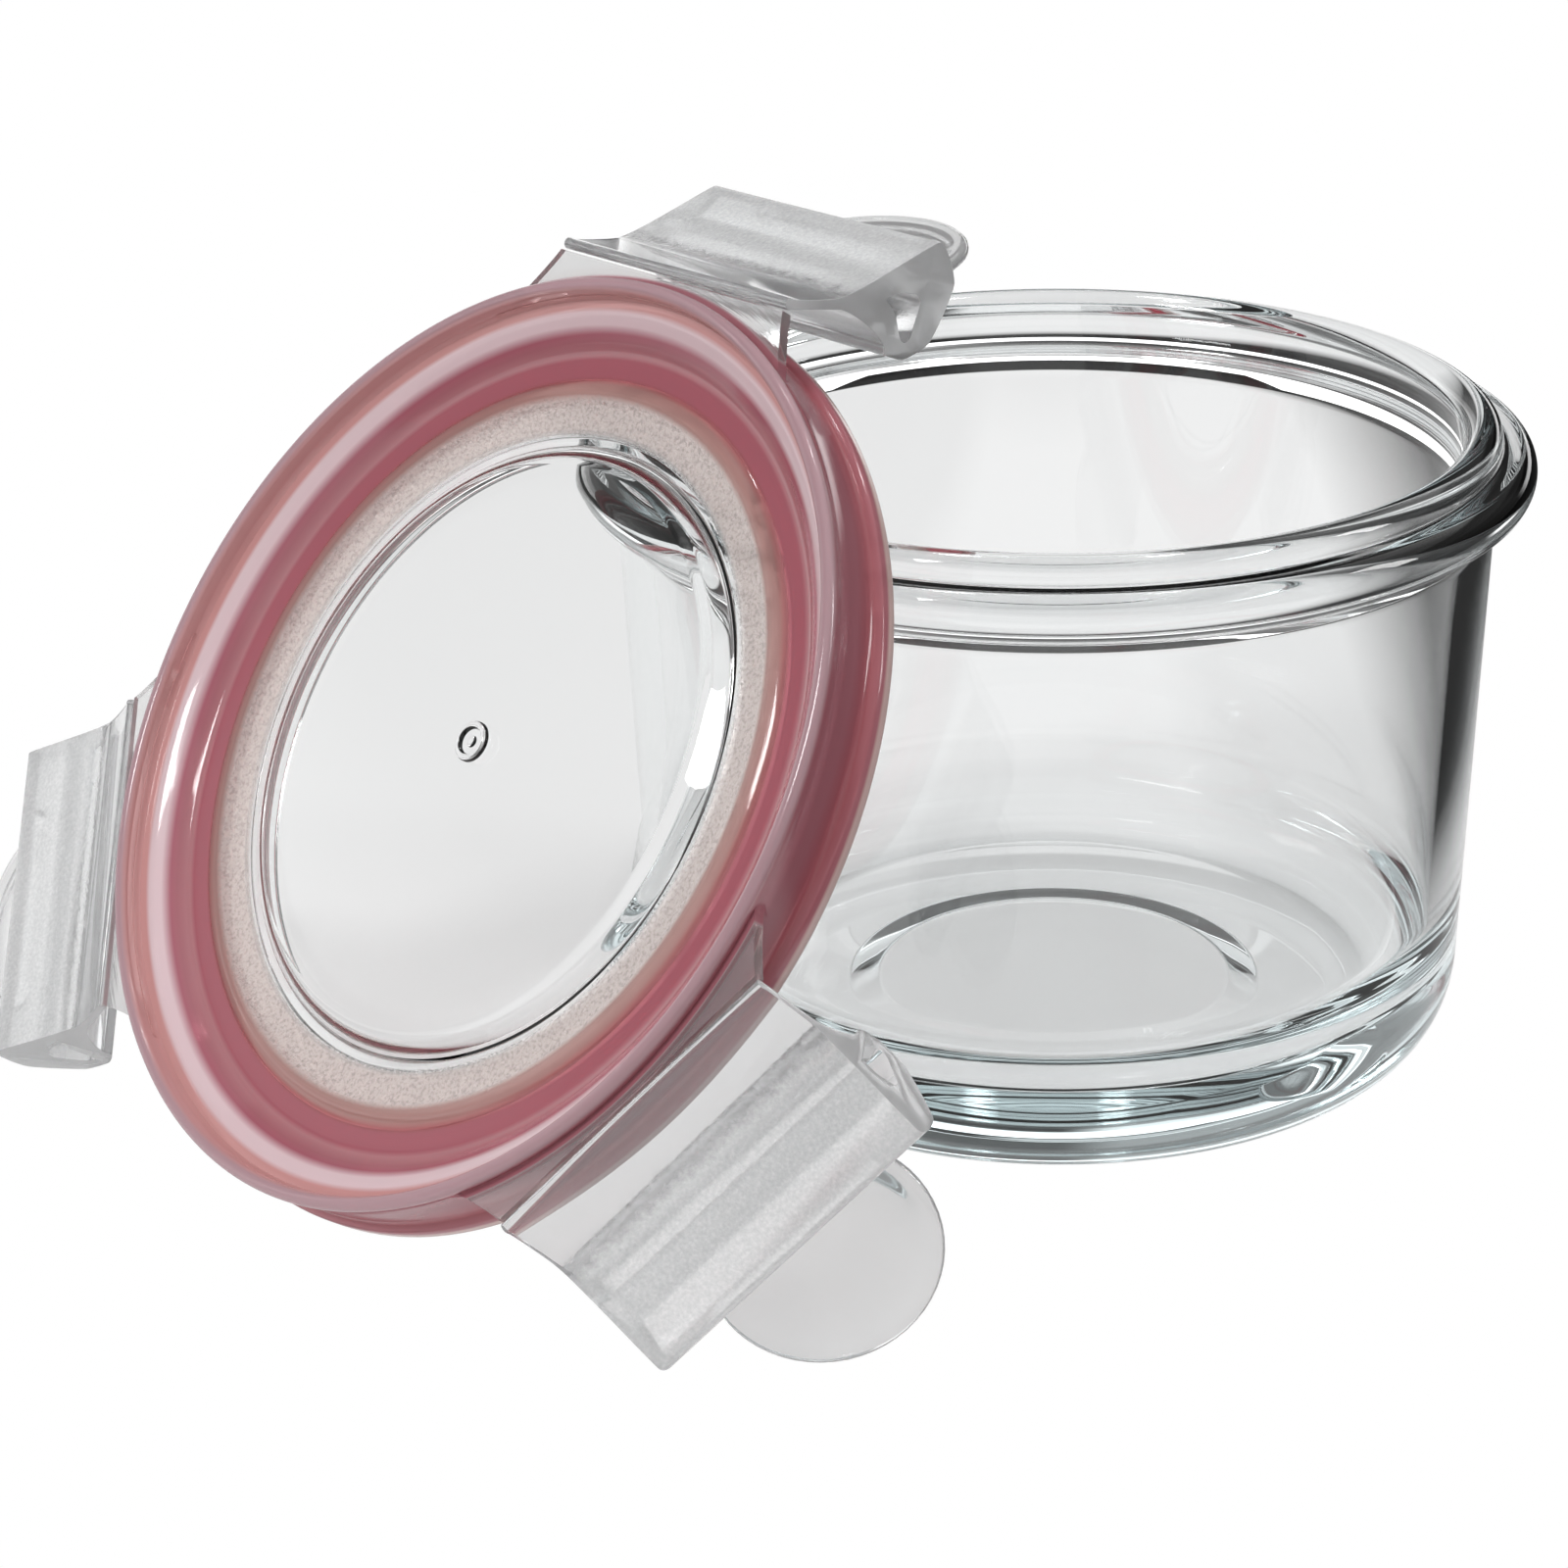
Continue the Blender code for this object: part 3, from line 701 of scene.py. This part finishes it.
def plane(name, centre, normal, width, height, mat, round_=False):
    bm = bmesh.new()
    if round_:
        bmesh.ops.create_circle(bm, cap_ends=True, segments=96, radius=width / 2)
    else:
        bmesh.ops.create_grid(bm, x_segments=1, y_segments=1, size=0.5)
        bmesh.ops.scale(bm, vec=(width, height, 1), verts=bm.verts)
    mesh = bpy.data.meshes.new(name)
    bm.to_mesh(mesh)
    bm.free()
    obj = bpy.data.objects.new(name, mesh)
    scene.collection.objects.link(obj)
    obj.location = centre
    if abs(normal[2]) < 0.999:
        obj.rotation_euler = Vector(normal).to_track_quat("Z", "Y").to_euler()
    mesh.materials.append(mat)
    return obj


def area(name, at, target, width, height, power, colour=(1, 1, 1)):
    data = bpy.data.lights.new(name, "AREA")
    data.shape = "RECTANGLE"
    data.size, data.size_y = width, height
    data.energy = power
    data.color = colour
    obj = bpy.data.objects.new(name, data)
    scene.collection.objects.link(obj)
    obj.location = at
    obj.rotation_euler = (Vector(target) - Vector(at)).to_track_quat("-Z", "Y").to_euler()
    return obj


def stage():
    plane("floor", (0, 0, -0.0006), (0, 0, 1), 12.0, 12.0, stage_material("floor_white", 0.42, 1.0), True)
    world = bpy.data.worlds.new("studio")
    scene.world = world
    world.use_nodes = True
    tree = world.node_tree
    back = tree.nodes["Background"]

    def maths(operation, a, b=None, c=None):
        n = tree.nodes.new("ShaderNodeMath")
        n.operation = operation
        for socket, value in zip(n.inputs, (a, b, c)):
            if isinstance(value, (int, float)):
                socket.default_value = value
            elif value is not None:
                tree.links.new(value, socket)
        return n.outputs[0]

    def ramp(value, stops):
        n = tree.nodes.new("ShaderNodeValToRGB")
        while len(n.color_ramp.elements) > 1:
            n.color_ramp.elements.remove(n.color_ramp.elements[-1])
        for i, (at, v) in enumerate(stops):
            e = n.color_ramp.elements[0] if i == 0 else n.color_ramp.elements.new(at)
            e.position = at
            e.color = (v, v, v, 1)
        tree.links.new(value, n.inputs[0])
        return n.outputs[0]

    coord = tree.nodes.new("ShaderNodeTexCoord")
    split = tree.nodes.new("ShaderNodeSeparateXYZ")
    tree.links.new(coord.outputs["Generated"], split.inputs[0])
    # a studio: bright strip low behind, flags above it, soft panels higher up, dim sides
    level = maths("MULTIPLY_ADD", split.outputs[2], 0.5, 0.5)
    bands = (0.0, 6.0, 12.0, 20.0, 32.0, 50.0, 70.0, 90.0)

    def sector(values):
        stops = [(0.0, values[0] / 2), (0.5, values[0] / 2)]
        for low, high, value in zip(bands, bands[1:], values):
            soft = min(1.2, (high - low) * 0.15)
            for e in (low + soft, high - soft):
                stops.append((0.5 + 0.5 * math.sin(math.radians(e)), value / 2))
        return ramp(level, stops)

    def blend(a, b, by, start, stop):
        edge = tree.nodes.new("ShaderNodeMapRange")
        edge.interpolation_type = "SMOOTHSTEP"
        edge.inputs["From Min"].default_value = start
        edge.inputs["From Max"].default_value = stop
        tree.links.new(by, edge.inputs["Value"])
        return maths("ADD", maths("MULTIPLY", a, maths("SUBTRACT", 1.0, edge.outputs[0])), maths("MULTIPLY", b, edge.outputs[0]))

    lit = blend(sector((1.75, 1.10, 0.40, 0.22, 0.12, 0.45, 0.79)), sector((1.90, 0.02, 0.08, 0.12, 0.10, 0.50, 0.79)), split.outputs[0], -0.06, 0.06)
    lit = blend(lit, sector((1.90, 0.02, 0.08, 0.20, 1.05, 1.00, 0.79)), split.outputs[0], 0.26, 0.34)
    lit = blend(lit, sector((0.08, 0.10, 0.15, 0.25, 0.60, 0.55, 0.79)), split.outputs[0], 0.60, 0.74)
    lit = blend(lit, sector((1.20, 0.50, 0.80, 0.35, 0.20, 0.40, 0.79)), split.outputs[0], -0.70, -0.86)
    lit = blend(lit, sector((0.60, 0.70, 0.60, 0.65, 0.35, 0.75, 0.79)), split.outputs[1], -0.10, -0.35)
    lit = maths("MULTIPLY", lit, 2.0)
    path = tree.nodes.new("ShaderNodeLightPath")
    seen = maths("MAXIMUM", lit, path.outputs["Is Camera Ray"])
    tree.links.new(seen, back.inputs["Color"])
    back.inputs["Strength"].default_value = 1.0
    area("key", (-0.50, -0.42, 0.80), (0, 0, 0.03), 0.24, 0.24, 3.6)
    area("side", (0.80, -0.05, 0.50), (0, 0, 0.03), 0.12, 0.34, 1.4)
    area("spot_a", (-0.10, 0.30, 0.95), (0, 0, 0.03), 0.07, 0.07, 0.5)
    area("spot_b", (0.22, 0.22, 0.95), (0, 0, 0.03), 0.07, 0.07, 0.5)
    scene.view_settings.view_transform = "Standard"
    scene.view_settings.look = "None"
    scene.cycles.max_bounces = 24
    scene.cycles.transmission_bounces = 20
    scene.cycles.glossy_bounces = 8
    scene.cycles.diffuse_bounces = 5
    scene.cycles.caustics_reflective = True
    scene.cycles.caustics_refractive = True
    scene.cycles.blur_glossy = 0.3


camera()
jar()
lid()
seal()
for clip_name, (clip_az, clip_fold) in CLIPS.items():
    clip(clip_name, clip_az, clip_fold)
stage()
